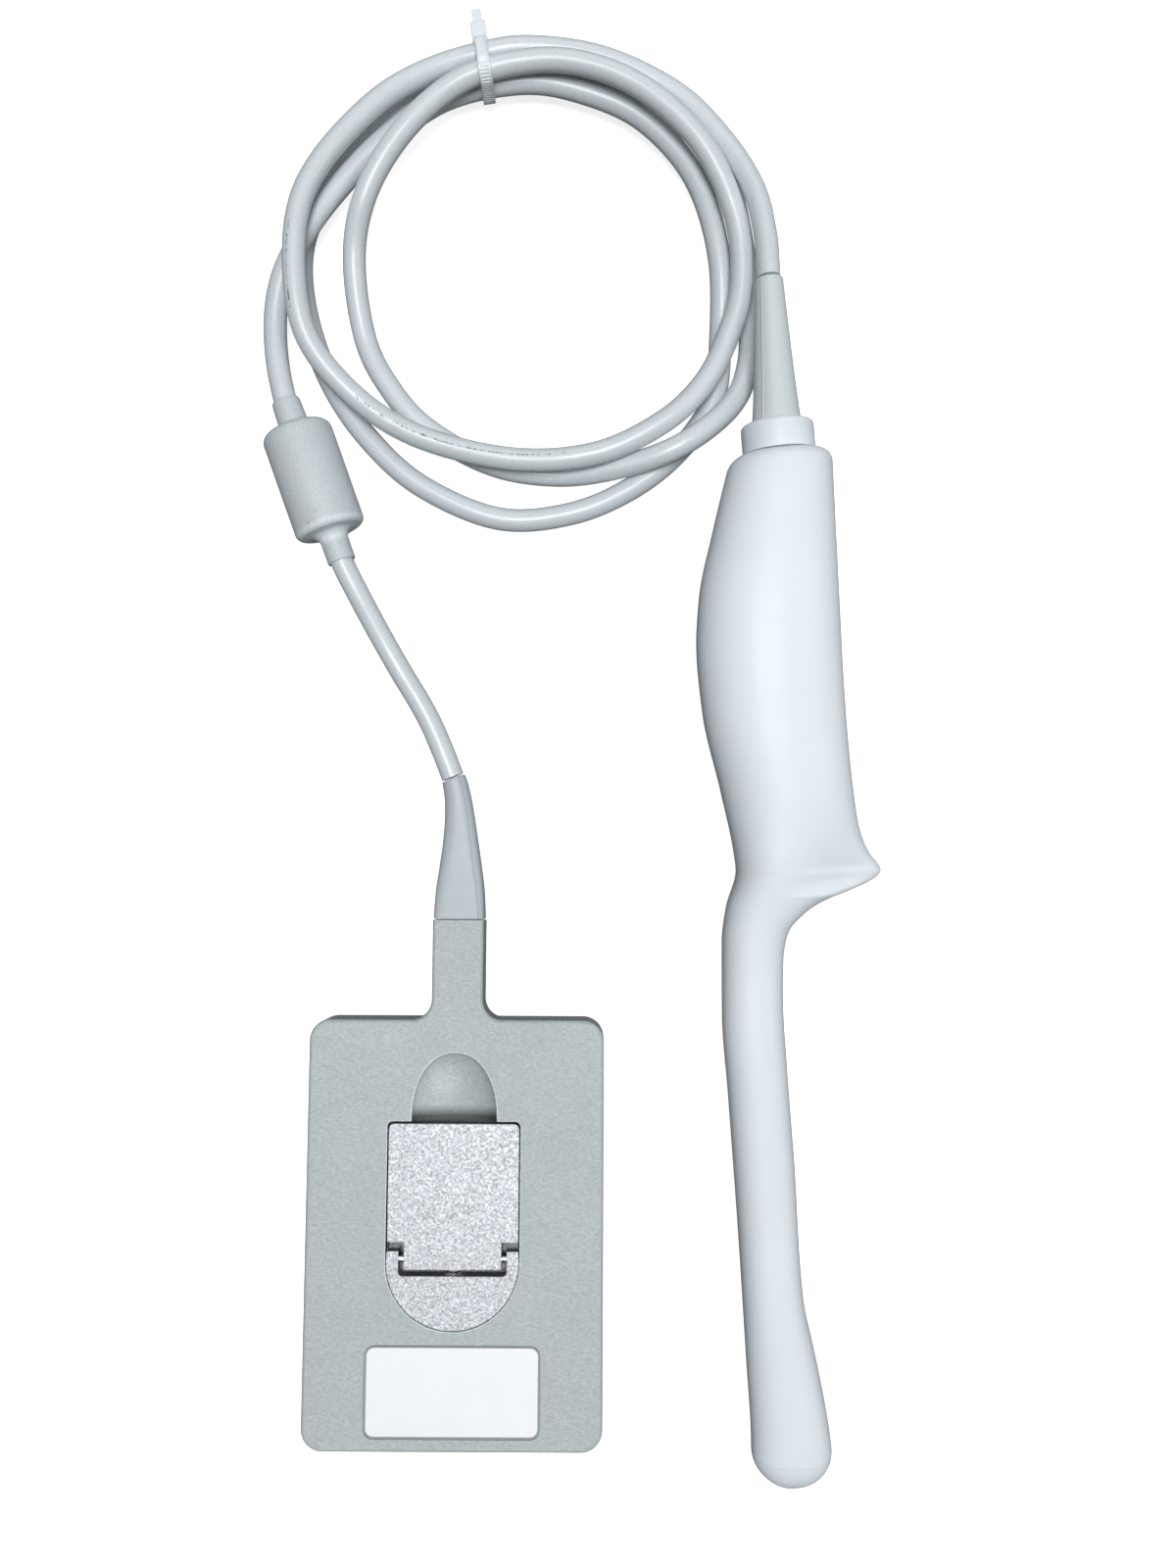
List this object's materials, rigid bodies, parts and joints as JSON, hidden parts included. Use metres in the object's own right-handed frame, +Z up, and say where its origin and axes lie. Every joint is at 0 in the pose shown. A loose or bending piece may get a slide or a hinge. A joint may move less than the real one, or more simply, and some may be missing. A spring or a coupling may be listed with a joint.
{
  "type": "ultrasound transducer probe",
  "caption": "Intracavity ultrasound probe: curved white handset with finger spur, coiled cable with ferrite, and flat connector with flip-up latch.",
  "frame": {"origin": "on the table under the middle of the handset's box, from the acoustic tip to the end of its cable boot", "axes": "+Y along the handset from the acoustic tip to its cable end, +X to the side of the finger spur, +Z up from the table"},
  "size_m": [0.1811, 0.4369, 0.0324],
  "materials": {
    "handset_white": "satin moulded ABS, near white with a cool cast",
    "lens_rubber": "smooth white silicone",
    "cable_grey": "satin pale grey jacket",
    "boot_grey": "satin green-grey elastomer",
    "case_grey": "fine-grained green-grey moulding",
    "latch_silver": "silver paint with a coarse sparkle",
    "steel": "plain steel",
    "contact_gold": "gold-plated pads",
    "board_green": "solder-masked circuit board",
    "amber_film": "polyimide film",
    "array_ceramic": "piezo ceramic",
    "ferrite": "sintered ferrite",
    "copper_braid": "bundle of coaxes under a braid",
    "tie_nylon": "translucent natural nylon",
    "label_white": "blank satin label",
    "black_plastic": "glass-filled insulator",
    "black_rubber": "seal rubber"
  },
  "bodies": {
    "probe": {"handset_shell_upper": "handset_white", "handset_shell_lower": "handset_white", "acoustic_lens": "lens_rubber", "matching_layer": "amber_film", "piezo_array": "array_ceramic", "backing_block": "black_plastic", "flex_circuit": "amber_film", "termination_board": "board_green", "cable_core": "copper_braid", "cable_clamp": "steel", "gland_seal": "black_rubber", "gland_collar": "handset_white", "handset_boot": "boot_grey", "cable": "cable_grey", "cable_tie": "tie_nylon", "ferrite_overmould": "boot_grey", "ferrite_core": "ferrite", "connector_boot": "boot_grey", "boot_ferrule": "steel", "lead_core": "copper_braid", "connector_cover": "case_grey", "connector_base": "case_grey", "connector_board": "board_green", "connector_shield": "steel", "wire_header": "black_plastic", "contact_block": "black_plastic", "contact_array_front": "contact_gold", "contact_array_rear": "contact_gold", "latch_rotor": "latch_silver", "latch_pin": "steel", "latch_spindle": "steel", "spindle_circlip": "steel", "label_plate": "label_white", "case_screw_1": "steel", "case_screw_2": "steel", "case_screw_3": "steel", "case_screw_4": "steel"},
    "latch_lever": {"latch_lever": "latch_silver"}
  },
  "joints": [
    {"name": "latch_lift", "type": "hinge", "parent": "probe", "child": "latch_lever", "pos_m": [-0.09763, -0.10593, 0.01791], "axis": [1, -0.0052, 0], "range_deg": [0, 90]}
  ]
}
